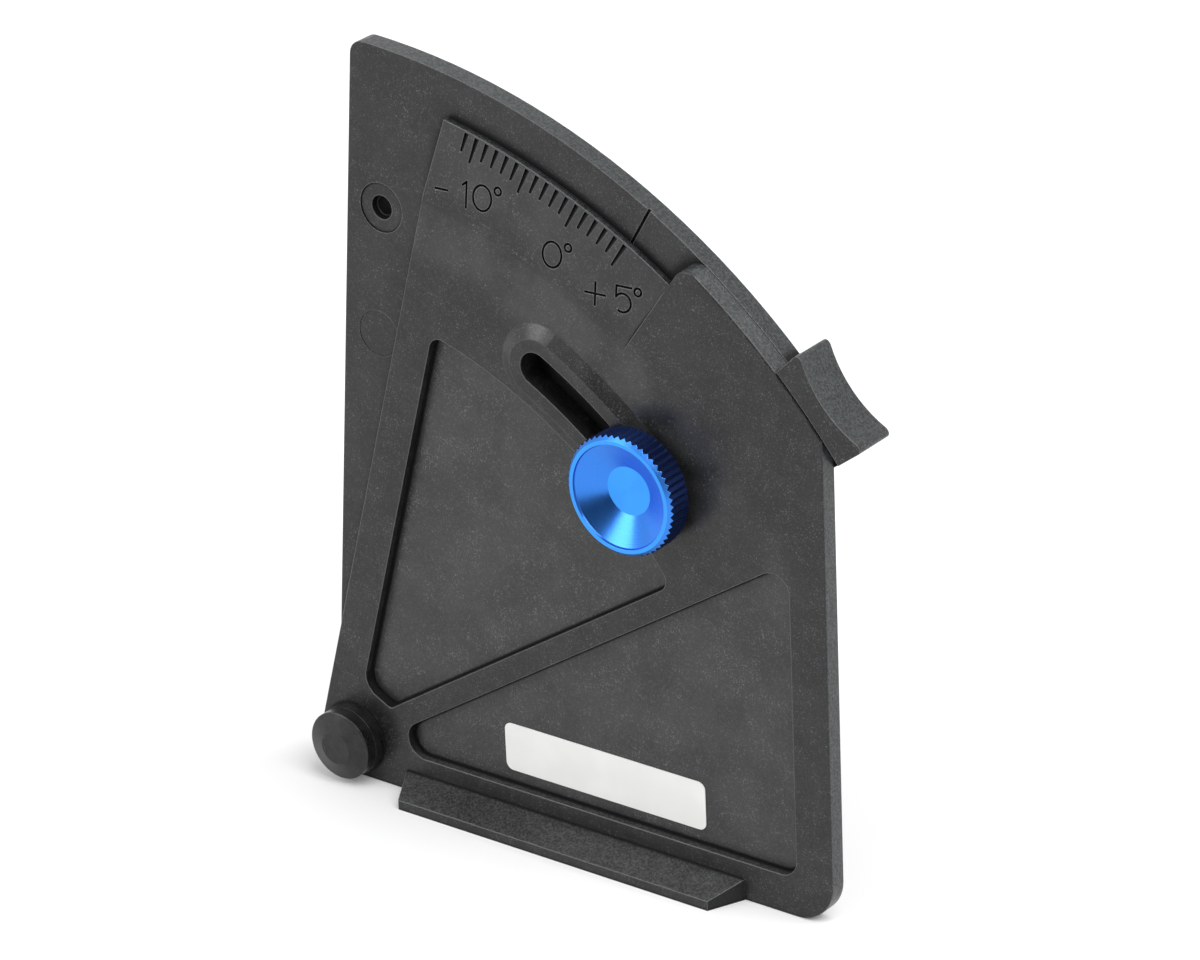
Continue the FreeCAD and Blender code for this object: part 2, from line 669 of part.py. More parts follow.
# ---- Pivot pieces
def pivot_pin():
    """Stepped head with a low cone in front, shank through both plates, hollow for the screw."""
    rim = FRONT - PIN_HEAD_H
    step = FRONT - PIN_FLANGE_H
    pin = turned([
        (0, rim - PIN_CROWN_H),
        (PIN_CROWN_R, rim - PIN_CROWN_H),
        (PIN_HEAD_R - PIN_HEAD_CHAMFER, rim),
        (PIN_HEAD_R, rim + PIN_HEAD_CHAMFER),
        (PIN_HEAD_R, step),
        (PIN_FLANGE_R, step),
        (PIN_FLANGE_R, FRONT),
        (PIN_R, FRONT),
        (PIN_R, PIN_END),
        (0, PIN_END),
    ])
    return pin.cut(disc(PIVOT_SCREW_R + RUNNING_FIT, PIN_END - PIVOT_SCREW_L - RUNNING_FIT, PIN_END + SLACK))


def pivot_washer():
    return tube(PIVOT_WASHER_R, PIVOT_SCREW_R + RUNNING_FIT, PIN_END, PIN_END + PIVOT_WASHER_T)


def pivot_screw():
    """Pan-head screw with a cross recess."""
    seat = PIN_END + PIVOT_WASHER_T
    top = seat + PIVOT_SCREW_HEAD_H
    head = soften_face(disc(PIVOT_SCREW_HEAD_R, seat, top), PIVOT_SCREW_HEAD_H / 2, top, 1)
    screw = head.fuse(disc(PIVOT_SCREW_R, PIN_END - PIVOT_SCREW_L, seat + SLACK)).removeSplitter()
    for wide, tall in ((RECESS_SPAN, RECESS_W), (RECESS_W, RECESS_SPAN)):
        corner = Vector(-wide / 2, top - RECESS_DEPTH, -tall / 2)
        screw = screw.cut(Part.makeBox(wide, RECESS_DEPTH + SLACK, tall, corner))
    return screw


# ---- Thumb screw pieces, at the stud's place on the leaning measuring plate
def clamp_axis():
    return polar(SLOT_R, STUD_LEAN + READING)


def clamp_knob():
    """Knurled rim, dished face with a flat middle, and a blind socket for the stud."""
    rim, face, back = KNOB_R, KNOB_FACE, KNOB_BACK
    dish_r = rim - KNOB_FRONT_CHAMFER - KNOB_LAND
    floor = face + KNOB_DISH
    body = turned([
        (0, back),
        (rim - KNOB_BACK_CHAMFER, back),
        (rim, back - KNOB_BACK_CHAMFER),
        (rim, face + KNOB_FRONT_CHAMFER),
        (rim - KNOB_FRONT_CHAMFER, face),
        (dish_r, face),
        (dish_r - KNOB_LIP, face + KNOB_LIP_DEPTH),
        (KNOB_DISC_R, floor),
        (0, floor),
    ])
    points = []
    for step in range(2 * KNOB_TEETH):
        radius = rim if step % 2 == 0 else rim - KNOB_TOOTH
        points.append(polar(radius, 180.0 * step / KNOB_TEETH))
    body = body.common(prism(points, face, back))
    body = body.cut(disc(STUD_R, back - KNOB_SOCKET, back + SLACK))
    body.translate(clamp_axis())
    return body


def clamp_stud():
    return disc(STUD_R, KNOB_BACK - KNOB_SOCKET, STUD_END, clamp_axis())


def clamp_washer():
    return tube(CLAMP_WASHER_R, STUD_R + RUNNING_FIT, KNOB_BACK, WASHER_BACK, clamp_axis())


def clamp_nut():
    """Hexagon nut in its pocket, turned with the measuring plate."""
    nut = hexagon(NUT_FLATS, NUT_POCKET, NUT_POCKET + NUT_T, stud_place())
    nut = nut.cut(disc(STUD_R + RUNNING_FIT, NUT_POCKET - SLACK, NUT_POCKET + NUT_T + SLACK, stud_place()))
    return lean_by(nut, READING)


# ---- Label
def label():
    """Blank sticker on the floor of the lower pocket."""
    right = BASE_W - RIM_W - LABEL_RIGHT
    low = RIM_W - BASE_CORNER + LABEL_RISE
    left, high = right - LABEL_W, low + LABEL_H
    corners = [Vector(x, 0, z) for x, z in ((left, low), (right, low), (right, high), (left, high))]
    return round_corners(prism(corners, POCKET_FLOOR - LABEL_T, POCKET_FLOOR), LABEL_R, corners)


PIECES = {
    "base_plate": base_plate,
    "swing_plate": swing_plate,
    "pivot_pin": pivot_pin,
    "pivot_washer": pivot_washer,
    "pivot_screw": pivot_screw,
    "clamp_knob": clamp_knob,
    "clamp_stud": clamp_stud,
    "clamp_washer": clamp_washer,
    "clamp_nut": clamp_nut,
    "label": label,
}

# From the pivot axis to the origin under the middle of the foot.
TO_ORIGIN = Vector(-FOOT_MIDDLE, PLATE_GAP + BASE_T / 2, BASE_CORNER)

os.makedirs("parts", exist_ok=True)
for name, build in PIECES.items():
    piece = build()
    piece.translate(TO_ORIGIN)
    piece.exportStep("parts/" + name + ".step")
    print(name, "solids", len(piece.Solids), "valid", piece.isValid(), "volume %.1f" % piece.Volume)
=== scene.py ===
import math

import bpy
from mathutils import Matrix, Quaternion, Vector


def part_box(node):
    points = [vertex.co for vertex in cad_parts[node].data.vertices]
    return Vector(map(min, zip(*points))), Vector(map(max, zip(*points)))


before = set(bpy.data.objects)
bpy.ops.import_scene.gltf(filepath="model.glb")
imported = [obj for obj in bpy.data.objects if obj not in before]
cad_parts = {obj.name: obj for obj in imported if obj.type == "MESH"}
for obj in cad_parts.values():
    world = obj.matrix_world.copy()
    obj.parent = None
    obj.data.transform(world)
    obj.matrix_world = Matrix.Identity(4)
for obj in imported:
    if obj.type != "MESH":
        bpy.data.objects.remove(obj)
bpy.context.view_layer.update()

# Looks of the camber and caster gauge: finishes for its pieces, the studio and the camera.
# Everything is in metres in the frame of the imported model: +Z up, front towards -Y, origin under the foot.
# Textures are laid out in millimetres, because their grain is that fine.

MM = 0.001                          # one millimetre in metres
PER_METRE = 1000.0                  # metres to millimetres, for texture coordinates
FRONT = (0.0, -1.0, 0.0)
RIGHT = (1.0, 0.0, 0.0)
FLATTENED = (1.0, 0.0, 1.0)         # factors that leave out how far back a place lies

# ---- Camera, as the photograph was taken
CAMERA_AT = Vector((0.38836, -0.49476, 0.34451))
CAMERA_TARGET = Vector((0.0003, 0.0075, 0.0493))
CAMERA_ROLL = math.radians(-2.455)
CAMERA_LENS = 163.34                # mm on a 36 mm wide sensor
SENSOR_WIDTH = 36.0
CLIP_FROM, CLIP_TO = 0.01, 20.0

# ---- Studio
FLOOR_SIZE = 6.0
FLOOR_COLOUR = (0.80, 0.80, 0.80)
FLOOR_GLOW = 0.09                   # added where the camera sees the floor, as paper that is lit through
FLOOR_GLOSS = 0.06                  # and where a gloss mirrors it
SKY_LEVEL = 0.5                     # light from all round
TOP_LIGHT = {"towards": (0.54, -0.04, 0.84), "energy": 2.8, "angle": 50.0}
SIDE_LIGHT = {"towards": (-0.50, -0.70, 0.51), "energy": 1.25, "angle": 36.0}
CARD_AT = (0.13, -0.30, 0.14)       # middle of a dark card before the object, which shows in gloss only
CARD_WIDE = 0.36
CARD_HIGH = 0.27
CARD_TONE = 0.03
CORNERS = ((-1, -1), (1, -1), (1, 1), (-1, 1))     # of a flat panel, in half widths and heights

# ---- Colours, linear
NYLON_DARK = (0.003, 0.003, 0.0031)
NYLON_LIGHT = (0.009, 0.0092, 0.0094)
NYLON_FLECK = (0.16, 0.165, 0.165)
NYLON_SCUFF = (0.13, 0.15, 0.16)    # on the plates' sides, above the foot
NYLON_PAINTED_SHADE = (0.025, 0.025, 0.026)  # painted shade in corners and engraved lines, as what is left of the gloss
PIN_DARK = (0.005, 0.005, 0.0051)
PIN_LIGHT = (0.012, 0.012, 0.0122)
# The knob: its paler flat faces are a painted reflection, its dark knurl is painted shade.
BLUE_FACE_REFLECTION = (0.050, 0.32, 0.93)
BLUE = (0.048, 0.225, 0.76)
BLUE_KNURL_SHADE = (0.034, 0.066, 0.24)
BLUE_WEAR_AND_HIGHLIGHT = (0.20, 0.52, 1.0)
ZINC = (0.55, 0.55, 0.56)
ZINC_DULL = (0.36, 0.36, 0.38)
LABEL_WHITE = (0.78, 0.79, 0.77)
LABEL_SHADE = (0.74, 0.75, 0.73)

# ---- Places on the pieces, in millimetres; a pair says where something begins and where it is full
PIVOT = (-36.3, 0.0, 5.75)          # a point on the pivot's axis, from which the radii below count
BASE_FRONT = -1.25                  # Y of the base plate's front face
BEVEL_FROM = 82.70                  # radius at which the scale's bevel starts
BEVEL_FALL = 0.1379                 # how much it falls to the back per millimetre outwards
TICKS = (90.4, 90.5)                # radii at the inner end of the long ticks
TICK_DEPTH = (0.02, 0.05)           # depths below the bevel that count as a tick's floor
SUNK_DEPTH = (0.05, 0.6)            # depths behind the base plate's front that count as sunk
FOOT_STANDS_OUT = (-0.05, -0.2)     # the same for what stands out before it
OUTLINE = (76.0, 77.0)              # radii past the walls of the base plate's pockets and slot
ABOVE_FOOT = (5.0, 7.0)             # heights
PALE_BAND_FROM = (73.0, 77.0)         # radii of a paler band of the face, between slot and scale
PALE_BAND_TO = (85.7, 81.7)
PALE_BAND_ABOVE = (42.0, 57.0)        # and its heights
KNOB_RIM = (6.9, 7.2)               # radii from the knob's own axis, just outside its face

# ---- How squarely a face looks to the front, or the right, as the cosine of its angle
AS_FRONT = (0.8, 0.95)
AS_SIDE = (0.6, 0.3)
AS_TICK_FLOOR = (0.2, 0.4)
AS_FOOT_END = (0.3, 0.6)
AS_KNURL = (0.65, 0.35)
AS_KNOB_FLAT = (0.93, 0.98)
AS_WEAR_AND_HIGHLIGHT_EDGE = (0.995, 0.90)        # between the face and the softened surface

# ---- Nylon: grain and depth of its marks in millimetres, spans of noise that make a mark, and shares
CLOUD_GRAIN, CLOUD_SPAN = 9.0, (0.35, 0.6)
MOTTLE_GRAIN = 0.7
TONE_SPAN = (0.42, 0.60)
CLUSTER_GRAIN, CLUSTER_SPAN, CLUSTER_SHARE = 3.2, (0.36, 0.70), 0.03
FLECK_GRAIN, FLECK_SPAN, FLECK_SHARE = 0.17, (0.64, 0.80), 0.7
FLECKS_BETWEEN_CLUSTERS = 0.35      # how much of the flecks is left there
FIBRES = ((-62.0, 0.11), (-28.0, 0.12), (40.0, 0.11))     # lean off upright in degrees, and thickness
FIBRE_LENGTH = 3.0                  # in thicknesses
FIBRE_SPAN = (0.70, 0.84)
SCUFF_GRAIN, SCUFF_SPAN, SCUFF_SHARE = 0.35, (0.38, 0.66), (0.03, 0.32)
SUNK_SHARE = (0.085, 0.125)         # least and most pale tone on sunk faces; on the scale's bevel a painted reflection
PALE_BAND_SHARE = (0.04, 0.13)        # and in that paler band of the face
WAVE_GRAIN, WAVE_DEPTH = 2.6, 0.03
PIT_GRAIN, PIT_DEPTH = 0.22, 0.008
NYLON_ROUGH = (0.38, 0.28)          # where the mottle is dark, and where it is light
NYLON_IOR = 1.46
NYLON_EDGE, NYLON_WEAR_AND_HIGHLIGHT = 0.25, 0.7  # softened edge radius; how pale edges are: part wear, part painted highlight
CORNER_DULL = 0.3                   # how much rougher it is in corners
TICK_UNSHADED = 0.1                    # what is left of the gloss and colour in the ticks, painted in shade
FOOT_END_UNSHADED = 0.35               # and on the foot's right end, painted in shade too

# ---- Corners: how far they reach in millimetres, how open they are at their deepest, and at their end
# On the nylon, these set where the colour is painted shade: in corners and next to other pieces.
NYLON_CORNER = (0.6, 0.74, 0.94)
BASE_SHADE = (0.8, 0.56, 0.86)
SWING_SHADE = (2.4, 0.72, 0.97)
PIN_CORNER = (0.4, 0.72, 0.92)
METAL_CORNER = (0.3, 0.72, 0.92)

# ---- The smaller pieces, in the same terms; a pair of roughness is its least and its most
PIN_MOTTLE_GRAIN = 1.2
PIN_FLECK_GRAIN, PIN_FLECK_SPAN, PIN_FLECK_SHARE = 0.22, (0.66, 0.76), 0.25
PIN_PIT_GRAIN, PIN_PIT_DEPTH = 0.18, 0.008
# The pin's pale edges are partly wear and partly a painted highlight.
PIN_EDGE, PIN_WEAR_AND_HIGHLIGHT = 0.12, 0.35
PIN_ROUGH = (0.27, 0.35)
PIN_IOR = 1.44
KNOB_RINGS, KNOB_RING_DEPTH = 14.0, 0.003          # rings in a millimetre, and their depth
# The knob's pale edges, less on the knurl, are partly wear and partly a painted highlight.
KNOB_EDGE, KNOB_WEAR_AND_HIGHLIGHT, KNURL_WEAR_AND_HIGHLIGHT = 0.08, 0.35, 0.05
KNOB_ROUGH = (0.26, 0.34)
KNOB_STREAK, KNOB_STREAK_TURN = 0.6, 0.25          # how far the rings draw out a highlight, and which way
ZINC_CLOUD_GRAIN = 1.5
ZINC_SCRATCH_GRAIN, ZINC_SCRATCH_DEPTH = 0.12, 0.006
ZINC_SCRATCH_STRETCH = (1.0, 0.08, 1.0)            # scratches run from front to back
ZINC_EDGE = 0.10
ZINC_ROUGH = (0.26, 0.46)
LABEL_CLOUD_GRAIN, LABEL_CLOUD_SPAN = 7.0, (0.35, 0.65)
LABEL_PEEL_GRAIN, LABEL_PEEL_DEPTH = 0.5, 0.003
LABEL_EDGE = 0.05
LABEL_ROUGH = (0.32, 0.40)
LABEL_IOR = 1.46


# ---- Node helpers
class Shader:
    """A material's node tree, with short ways to add and join nodes."""

    def __init__(self, name):
        self.material = bpy.data.materials.new(name)
        self.material.use_nodes = True
        self.tree = self.material.node_tree
        self.tree.nodes.clear()
        place = self.add("TexCoord").outputs["Object"]
        self.mm = self.vector("SCALE", place, scale=PER_METRE)

    def add(self, kind, **inputs):
        """A node with its inputs set: a socket is linked, anything else becomes the default."""
        node = self.tree.nodes.new("ShaderNode" + kind)
        for name, value in inputs.items():
            self.put(node.inputs[name.replace("_", " ")], value)
        return node

    def put(self, socket, value):
        if isinstance(value, bpy.types.NodeSocket):
            self.tree.links.new(value, socket)
        elif hasattr(value, "__len__") and socket.type == "RGBA" and len(value) == 3:
            socket.default_value = (*value, 1.0)
        else:
            socket.default_value = value

    def vector(self, operation, first, second=None, scale=None):
        node = self.add("VectorMath")
        node.operation = operation
        self.put(node.inputs[0], first)
        if second is not None:
            self.put(node.inputs[1], second)
        if scale is not None:
            self.put(node.inputs["Scale"], scale)
        return node.outputs["Value" if operation in ("DOT_PRODUCT", "LENGTH") else "Vector"]

    def math(self, operation, first, second):
        node = self.add("Math")
        node.operation = operation
        self.put(node.inputs[0], first)
        self.put(node.inputs[1], second)
        return node.outputs[0]

    def product(self, first, *others):
        for other in others:
            first = self.math("MULTIPLY", first, other)
        return first

    def blend(self, first, second):
        """Six tenths of the first value and four tenths of the second."""
        return self.math("ADD", self.product(first, 0.6), self.product(second, 0.4))

    def rest(self, share):
        """What a share leaves of the whole."""
        return self.math("SUBTRACT", 1.0, share)

    def remap(self, value, low, high, to_low=0.0, to_high=1.0):
        """The value between low and high as a smooth share, clamped, between to_low and to_high."""
        node = self.add("MapRange")
        node.interpolation_type = "SMOOTHSTEP"
        for name, number in (("Value", value), ("From Min", low), ("From Max", high),
                             ("To Min", to_low), ("To Max", to_high)):
            self.put(node.inputs[name], number)
        return node.outputs["Result"]

    def fade(self, share, at_none, at_full):
        """From at_none, where the share is 0, to at_full, where it is 1."""
        return self.remap(share, 0.0, 1.0, at_none, at_full)

    def wander(self, noise, at_low=0.0, at_high=1.0):
        """From at_low to at_high with the noise, over most of its span."""
        return self.remap(noise, 0.3, 0.7, at_low, at_high)

    def mix(self, share, first, second):
        node = self.add("Mix")
        node.data_type = "RGBA"
        self.put(node.inputs["Factor"], share)
        self.put(node.inputs[6], first)
        self.put(node.inputs[7], second)
        return node.outputs[2]

    def noise(self, grain, detail=2.0, roughness=0.5, where=None):
        """Noise whose lumps are about grain millimetres across."""
        where = self.mm if where is None else where
        node = self.add("TexNoise", Vector=where, Scale=1.0 / grain, Detail=detail, Roughness=roughness)
        return node.outputs["Fac"]

    def drawn_out(self, where, lean, length):
        """Texture space whose lumps are length times longer, along a line lean degrees off upright."""
        node = self.add("Mapping")
        node.vector_type = "TEXTURE"
        self.put(node.inputs["Vector"], where)
        node.inputs["Rotation"].default_value = (0.0, math.radians(lean), 0.0)
        node.inputs["Scale"].default_value = (1.0, 1.0, length)
        return node.outputs["Vector"]

    def place(self, axis):
        """How far along X, Y or Z the surface lies, in millimetres."""
        return self.add("SeparateXYZ", Vector=self.mm).outputs[axis]

    def radius(self, centre):
        """Distance in millimetres from the line that runs from front to back through centre."""
        offset = self.vector("MULTIPLY", self.vector("SUBTRACT", self.mm, centre), FLATTENED)
        return self.vector("LENGTH", offset)

    def facing(self, direction):
        """1 where the surface faces the direction, 0 where it stands square to it."""
        return self.vector("DOT_PRODUCT", self.add("TexCoord").outputs["Normal"], direction)

    def openness(self, reach_mm, low, high, own=True):
        """1 on open faces and outer edges, 0 in inner corners and engraved lines, and also near other pieces
        where own is False."""
        node = self.add("AmbientOcclusion", Distance=reach_mm * MM)
        node.samples = 8
        node.only_local = own
        return self.remap(node.outputs["AO"], low, high)

    def bump(self, height, depth_mm, normal):
        return self.add("Bump", Height=height, Distance=depth_mm * MM, Normal=normal).outputs["Normal"]

    def rounded(self, radius_mm, open_share):
        """The surface's normal with its outer edges softened; inner corners stay sharp."""
        soft = self.add("Bevel", Radius=radius_mm * MM)
        soft.samples = 6
        flat = self.add("NewGeometry").outputs["Normal"]
        blend = self.add("Mix")
        blend.data_type = "VECTOR"
        self.put(blend.inputs["Factor"], open_share)
        self.put(blend.inputs[4], flat)
        self.put(blend.inputs[5], soft.outputs["Normal"])
        return self.vector("NORMALIZE", blend.outputs[1])

    def worn_and_highlit(self, colour, softened, share, tone):
        """The colour with a share of the tone on sharp edges, where the softened normal leaves the face:
        partly wear, partly a painted highlight.
        """
        flat = self.add("NewGeometry").outputs["Normal"]
        edges = self.remap(self.vector("DOT_PRODUCT", softened, flat), *AS_WEAR_AND_HIGHLIGHT_EDGE)
        return self.mix(self.product(edges, share), colour, tone)

    def principled(self, **inputs):
        names = {"Base": "Base Color", "Rough": "Roughness", "Shape": "Normal"}
        node = self.add("BsdfPrincipled")
        for name, value in inputs.items():
            self.put(node.inputs[names.get(name, name.replace("_", " "))], value)
        return node.outputs["BSDF"]

    def finish(self, shader):
        self.add("OutputMaterial", Surface=shader)
        return self.material


# ---- Finishes
def nylon_grain(s, where, cloud, mottle):
    """The nylon's own colour: black with a fine mottle, clusters of pale flecks and short fibres."""
    cluster = s.remap(s.noise(CLUSTER_GRAIN, detail=4.0, roughness=0.7, where=where), *CLUSTER_SPAN)
    pale = s.remap(s.noise(FLECK_GRAIN, detail=1.0, roughness=0.7, where=where), *FLECK_SPAN)
    for lean, thickness in FIBRES:
        fibre = s.noise(thickness, detail=0.0, where=s.drawn_out(where, lean, FIBRE_LENGTH))
        pale = s.math("MAXIMUM", pale, s.remap(fibre, *FIBRE_SPAN))
    pale = s.product(pale, s.fade(cluster, FLECKS_BETWEEN_CLUSTERS, 1.0))
    colour = s.mix(s.remap(s.blend(cloud, mottle), *TONE_SPAN), NYLON_DARK, NYLON_LIGHT)
    colour = s.mix(s.product(cluster, CLUSTER_SHARE), colour, NYLON_FLECK)
    return s.mix(s.product(pale, FLECK_SHARE), colour, NYLON_FLECK)


def scuffs(s, where):
    """Fine pale scuffs, on the faces that look neither to the front nor to the back."""
    sides = s.remap(s.math("ABSOLUTE", s.facing(FRONT), 0.0), *AS_SIDE)
    rubbed = s.noise(SCUFF_GRAIN, roughness=0.7, where=where)
    return s.product(sides, s.remap(rubbed, *SCUFF_SPAN, *SCUFF_SHARE))


def behind_front(s):
    """How far the surface lies behind the base plate's front face, in millimetres."""
    return s.math("SUBTRACT", s.place("Y"), BASE_FRONT)


def foot_end(s):
    """1 on the slanted right end of the foot, which stands before the base plate; 0 elsewhere."""
    return s.product(s.remap(behind_front(s), *FOOT_STANDS_OUT), s.remap(s.facing(RIGHT), *AS_FOOT_END))


def base_sides(s, above_foot):
    """1 where things rub against the base plate's sides: on its outline and its foot, but for the foot's
    right end. Inside the pockets and the slot it is 0."""
    reached = s.math("MAXIMUM", s.remap(s.radius(PIVOT), *OUTLINE), s.rest(above_foot))
    return s.product(reached, s.rest(foot_end(s)))


def base_front(s, colour, cloud):
    """The base plate's colour, paler on the sunk parts of its front and in a band between slot and scale."""
    front = s.remap(s.facing(FRONT), *AS_FRONT)
    # On the scale's bevel this paler tone is a painted reflection.
    sunk = s.product(front, s.remap(behind_front(s), *SUNK_DEPTH))
    colour = s.mix(s.product(sunk, s.remap(cloud, *CLOUD_SPAN, *SUNK_SHARE)), colour, NYLON_FLECK)
    radius = s.radius(PIVOT)
    pale_band = s.product(front, s.remap(radius, *PALE_BAND_FROM), s.remap(radius, *PALE_BAND_TO),
                        s.remap(s.place("Z"), *PALE_BAND_ABOVE))
    return s.mix(s.product(pale_band, s.remap(cloud, *CLOUD_SPAN, *PALE_BAND_SHARE)), colour, NYLON_FLECK)


def engraved(s):
    """1 on the floor of the ticks, which lies under the scale's bevel; 0 elsewhere."""
    radius = s.radius(PIVOT)
    fall = s.product(s.math("SUBTRACT", radius, BEVEL_FROM), BEVEL_FALL)
    depth = s.math("SUBTRACT", behind_front(s), fall)
    return s.product(s.remap(depth, *TICK_DEPTH), s.remap(s.facing(FRONT), *AS_TICK_FLOOR),
                     s.remap(radius, *TICKS))


def moulded_nylon(name, seed, shade, is_base=False):
    """Fibre-filled nylon: a satin black, scuffed on its sides. In corners and next to other pieces it is
    painted
    in shade: a dark tone that loses its gloss, so there it counts as a dark metal. The base plate has its
    own marks too, and painted shade in the ticks of its scale and on its foot's right end."""
    s = Shader(name)
    where = s.vector("ADD", s.mm, (seed, seed * 0.37, seed * 0.71))
    cloud = s.noise(CLOUD_GRAIN, detail=3.0, where=where)
    mottle = s.noise(MOTTLE_GRAIN, detail=3.0, roughness=0.7, where=where)
    open_share = s.openness(*NYLON_CORNER)
    beside = s.openness(*shade, own=False)
    above_foot = s.remap(s.place("Z"), *ABOVE_FOOT)
    scuffed = scuffs(s, where)
    if is_base:
        scuffed = s.product(scuffed, base_sides(s, above_foot))
    colour = nylon_grain(s, where, cloud, mottle)
    colour = s.mix(scuffed, colour, s.mix(above_foot, NYLON_FLECK, NYLON_SCUFF))
    if is_base:
        colour = base_front(s, colour, cloud)
        # Painted shade in the ticks of the scale and on the foot's right end.
        beside = s.product(beside, s.fade(engraved(s), 1.0, TICK_UNSHADED),
                           s.fade(foot_end(s), 1.0, FOOT_END_UNSHADED))
    # Painted shade: in corners, ticks, on the foot's right end and next to other pieces the colour turns
    # dark and the gloss goes, as on a dark metal.
    unshaded = s.product(open_share, beside)
    colour = s.mix(unshaded, NYLON_PAINTED_SHADE, colour)
    normal = s.rounded(NYLON_EDGE, open_share)
    colour = s.worn_and_highlit(colour, normal, NYLON_WEAR_AND_HIGHLIGHT, NYLON_FLECK)
    rough = s.wander(mottle, *NYLON_ROUGH)
    for share in (open_share, beside):
        rough = s.math("ADD", rough, s.fade(share, CORNER_DULL, 0.0))
    normal = s.bump(s.noise(WAVE_GRAIN, where=where), WAVE_DEPTH, normal)
    normal = s.bump(s.noise(PIT_GRAIN, where=where), PIT_DEPTH, normal)
    return s.finish(s.principled(Base=colour, Metallic=s.rest(unshaded), Rough=rough, Shape=normal,
                                 IOR=NYLON_IOR))


def satin_pin():
    """The pivot pin: smoother black plastic with a fine mottle and a few flecks."""
    s = Shader("satin_pin")
    mottle = s.noise(PIN_MOTTLE_GRAIN, detail=3.0)
    fleck = s.remap(s.noise(PIN_FLECK_GRAIN, detail=1.0), *PIN_FLECK_SPAN)
    colour = s.mix(s.wander(mottle), PIN_DARK, PIN_LIGHT)
    colour = s.mix(s.product(fleck, PIN_FLECK_SHARE), colour, NYLON_FLECK)
    normal = s.rounded(PIN_EDGE, s.openness(*PIN_CORNER))
    colour = s.worn_and_highlit(colour, normal, PIN_WEAR_AND_HIGHLIGHT, NYLON_FLECK)
    normal = s.bump(s.noise(PIN_PIT_GRAIN), PIN_PIT_DEPTH, normal)
    rough = s.wander(mottle, *PIN_ROUGH)
    return s.finish(s.principled(Base=colour, Rough=rough, Shape=normal, IOR=PIN_IOR))


def anodised_blue(centre):
    """Turned aluminium, anodised blue: fine rings round the knob's axis, paler flat faces that are a painted
    reflection, a dark knurl that is painted shade.
    """
    s = Shader("anodised_blue")
    radius = s.radius(tuple(Vector(centre) * PER_METRE))
    ring_at = s.add("CombineXYZ", X=radius, Y=0.0, Z=0.0).outputs[0]
    rings = s.add("TexNoise", Vector=ring_at, Scale=KNOB_RINGS, Detail=2.0).outputs["Fac"]
    facing = s.facing(FRONT)
    knurl = s.product(s.remap(radius, *KNOB_RIM), s.remap(facing, *AS_KNURL))
    # Painted shade on the knurl's sides, and a painted reflection on the flat faces that look to the front.
    colour = s.mix(knurl, BLUE, BLUE_KNURL_SHADE)
    colour = s.mix(s.remap(facing, *AS_KNOB_FLAT), colour, BLUE_FACE_REFLECTION)
    normal = s.rounded(KNOB_EDGE, s.openness(*METAL_CORNER))
    colour = s.worn_and_highlit(colour, normal, s.fade(knurl, KNOB_WEAR_AND_HIGHLIGHT, KNURL_WEAR_AND_HIGHLIGHT), BLUE_WEAR_AND_HIGHLIGHT)
    normal = s.bump(rings, KNOB_RING_DEPTH, normal)
    tangent = s.add("Tangent")
    tangent.direction_type = "RADIAL"
    tangent.axis = "Y"
    rough = s.wander(rings, *KNOB_ROUGH)
    return s.finish(s.principled(Base=colour, Metallic=1.0, Rough=rough, Shape=normal,
                                 Anisotropic=KNOB_STREAK, Anisotropic_Rotation=KNOB_STREAK_TURN,
                                 Tangent=tangent.outputs["Tangent"]))


def zinc_steel():
    """Zinc plated steel: pale grey with dull clouds and fine scratches."""
    s = Shader("zinc_steel")
    cloud = s.noise(ZINC_CLOUD_GRAIN, detail=3.0)
    scratch = s.noise(ZINC_SCRATCH_GRAIN, where=s.vector("MULTIPLY", s.mm, ZINC_SCRATCH_STRETCH))
    colour = s.mix(s.wander(cloud), ZINC_DULL, ZINC)
    rough = s.wander(s.blend(cloud, scratch), *ZINC_ROUGH)
    normal = s.rounded(ZINC_EDGE, s.openness(*METAL_CORNER))
    normal = s.bump(scratch, ZINC_SCRATCH_DEPTH, normal)
    return s.finish(s.principled(Base=colour, Metallic=1.0, Rough=rough, Shape=normal))


def blank_vinyl():
    """The blank label: white vinyl with a soft gloss, faint clouds and a faint orange-peel."""
    s = Shader("blank_vinyl")
    cloud = s.noise(LABEL_CLOUD_GRAIN)
    colour = s.mix(s.remap(cloud, *LABEL_CLOUD_SPAN), LABEL_SHADE, LABEL_WHITE)
    rough = s.wander(cloud, *LABEL_ROUGH)
    normal = s.bump(s.noise(LABEL_PEEL_GRAIN), LABEL_PEEL_DEPTH, s.rounded(LABEL_EDGE, 1.0))
    return s.finish(s.principled(Base=colour, Rough=rough, Shape=normal, IOR=LABEL_IOR))


def give(material, *nodes):
    for node in nodes:
        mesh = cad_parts[node].data
        mesh.materials.clear()
        mesh.materials.append(material)


def dress():
    knob_low, knob_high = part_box("clamp_knob")
    give(moulded_nylon("base_nylon", 3.0, BASE_SHADE, is_base=True), "base_plate")
    give(moulded_nylon("swing_nylon", 41.0, SWING_SHADE), "swing_plate")
    give(satin_pin(), "pivot_pin")
    give(anodised_blue((knob_low + knob_high) / 2), "clamp_knob")
    give(zinc_steel(), "pivot_washer", "pivot_screw", "clamp_stud", "clamp_washer", "clamp_nut")
    give(blank_vinyl(), "label")


# ---- Studio
def panel(name, corners, material):
    """A flat sheet that belongs to the studio."""
    mesh = bpy.data.meshes.new(name)
    mesh.from_pydata(corners, [], [(0, 1, 2, 3)])
    mesh.materials.append(material)
    sheet = bpy.data.objects.new(name, mesh)
    bpy.context.scene.collection.objects.link(sheet)
    return sheet


